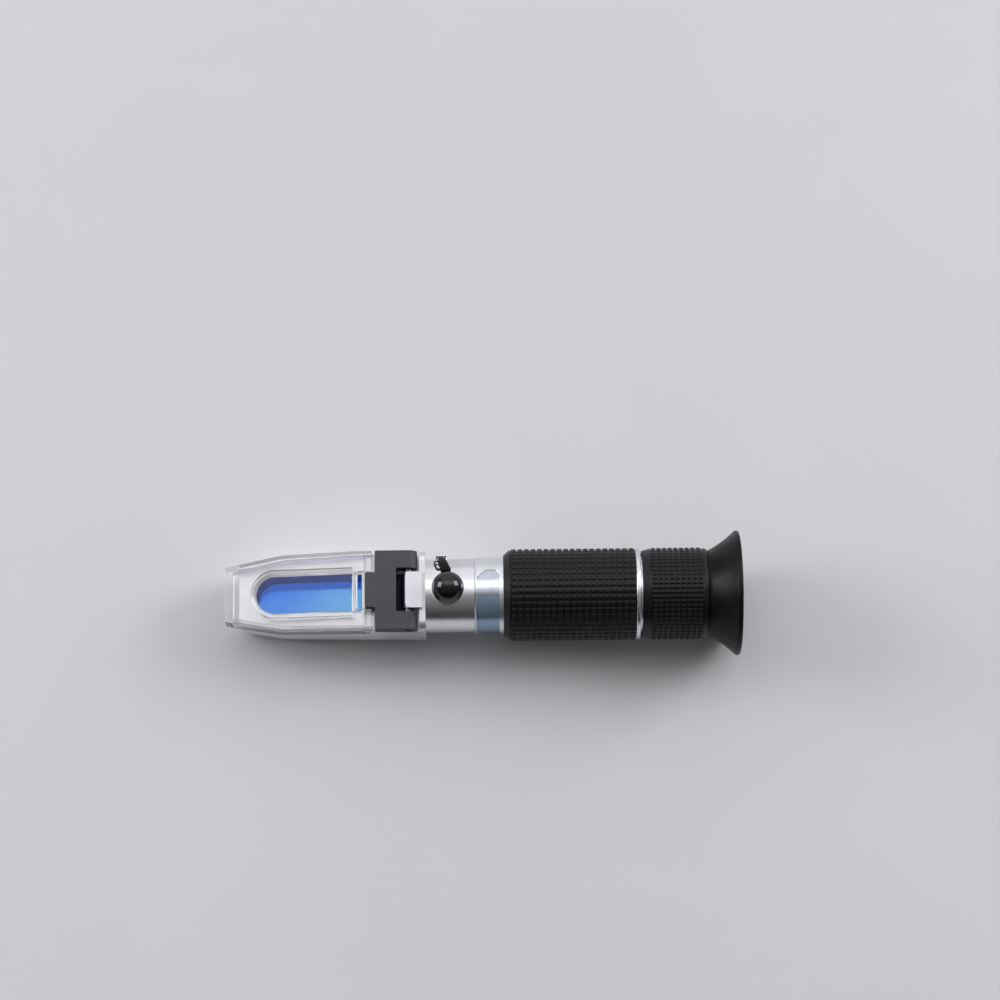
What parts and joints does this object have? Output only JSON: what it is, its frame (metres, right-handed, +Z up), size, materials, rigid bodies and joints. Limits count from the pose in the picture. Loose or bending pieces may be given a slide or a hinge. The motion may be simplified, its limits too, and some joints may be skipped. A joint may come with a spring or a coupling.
{
  "type": "coolant refractometer",
  "caption": "Hand-held coolant refractometer: hinged clear cover over a sloping prism, plated tube with calibration cap, ribbed rubber grip, focusing eyepiece and flared eyecup",
  "frame": {"origin": "middle of the bounding box at its underside, on the surface that the instrument lies on", "axes": "+X towards the eyecup (the optical axis rises from it by about three degrees, because the instrument lies on its eyecup's rim), +Y across the cover, +Z up through the cover"},
  "size_m": [0.1612, 0.039, 0.0389],
  "materials": {
    "prism_housing": "bright plated die casting",
    "main_prism": "polished glass that looks blue",
    "prism_seal": "pale silicone",
    "front_tube": "bright plated",
    "calibration_boss": "bright plated",
    "cap_strap": "soft black",
    "strap_staple": "plated wire",
    "neck_collar": "polished",
    "bimetal_strip": "rolled strip",
    "bimetal_screws": "turned",
    "cell_spring": "spring strip",
    "light_baffle": "matt black",
    "main_barrel": "turned",
    "barrel_seal": "black",
    "grip_sleeve": "ribbed black",
    "trim_ring": "polished",
    "reticle_disc": "polished",
    "reticle_retainer": "matt black",
    "cover_plate": "clear moulded plastic",
    "hinge_block": "satin black",
    "hinge_pin": "ground",
    "cover_screws": "turned",
    "calibration_screw": "turned",
    "calibration_cap": "glossy black",
    "objective_cell": "black anodised",
    "crown_lens": "coated",
    "flint_lens": "coated",
    "cell_ring": "matt black",
    "focus_seal": "black",
    "eyepiece_shell": "black anodised",
    "focus_ring": "ribbed black",
    "eyecup": "smooth black",
    "field_lens": "coated",
    "lens_spacer": "black anodised",
    "eye_lens": "coated",
    "lens_retainer": "matt black"
  },
  "bodies": {
    "instrument": {"prism_housing": "prism_housing", "main_prism": "main_prism", "prism_seal": "prism_seal", "front_tube": "front_tube", "calibration_boss": "calibration_boss", "cap_strap": "cap_strap", "strap_staple": "strap_staple", "neck_collar": "neck_collar", "bimetal_strip": "bimetal_strip", "bimetal_screws": "bimetal_screws", "cell_spring": "cell_spring", "light_baffle": "light_baffle", "main_barrel": "main_barrel", "barrel_seal": "barrel_seal", "grip_sleeve": "grip_sleeve", "trim_ring": "trim_ring", "reticle_disc": "reticle_disc", "reticle_retainer": "reticle_retainer"},
    "cover": {"cover_plate": "cover_plate", "hinge_block": "hinge_block", "hinge_pin": "hinge_pin", "cover_screws": "cover_screws"},
    "calibrator": {"calibration_screw": "calibration_screw"},
    "cap": {"calibration_cap": "calibration_cap"},
    "objective": {"objective_cell": "objective_cell", "crown_lens": "crown_lens", "flint_lens": "flint_lens", "cell_ring": "cell_ring"},
    "focus_slide": {"focus_seal": "focus_seal"},
    "eyepiece": {"eyepiece_shell": "eyepiece_shell", "focus_ring": "focus_ring", "eyecup": "eyecup", "field_lens": "field_lens", "lens_spacer": "lens_spacer", "eye_lens": "eye_lens", "lens_retainer": "lens_retainer"}
  },
  "joints": [
    {"name": "cover_hinge", "type": "hinge", "parent": "instrument", "child": "cover", "pos_m": [-0.02384, 0, 0.02209], "axis": [0, 1, 0], "range_deg": [0, 105]},
    {"name": "cap_pull", "type": "slide", "parent": "instrument", "child": "cap", "axis": [-0.0555, 0, 0.9985], "range_m": [0, 0.006], "deforming": ["cap_strap"]},
    {"name": "calibration_turn", "type": "hinge", "parent": "instrument", "child": "calibrator", "pos_m": [-0.01178, 0, 0.02677], "axis": [-0.0555, 0, 0.9985], "range_deg": [-187, 187]},
    {"name": "objective_shift", "type": "slide", "parent": "instrument", "child": "objective", "axis": [-0.0555, 0, 0.9985], "range_m": [-0.00025, 0.00025], "deforming": ["cell_spring", "bimetal_strip"]},
    {"name": "focus_travel", "type": "slide", "parent": "instrument", "child": "focus_slide", "axis": [0.9985, 0, 0.0555], "range_m": [-0.00025, 0.00275]},
    {"name": "focus_turn", "type": "hinge", "parent": "focus_slide", "child": "eyepiece", "pos_m": [0.04711, 0, 0.01772], "axis": [0.9985, 0, 0.0555], "range_deg": [-31.2, 331.2]}
  ],
  "couplings": [
    {"joint": "focus_turn", "follows": "focus_travel", "rad_per_m": 2094.4},
    {"joint": "calibration_turn", "follows": "objective_shift", "rad_per_m": 12566}
  ]
}
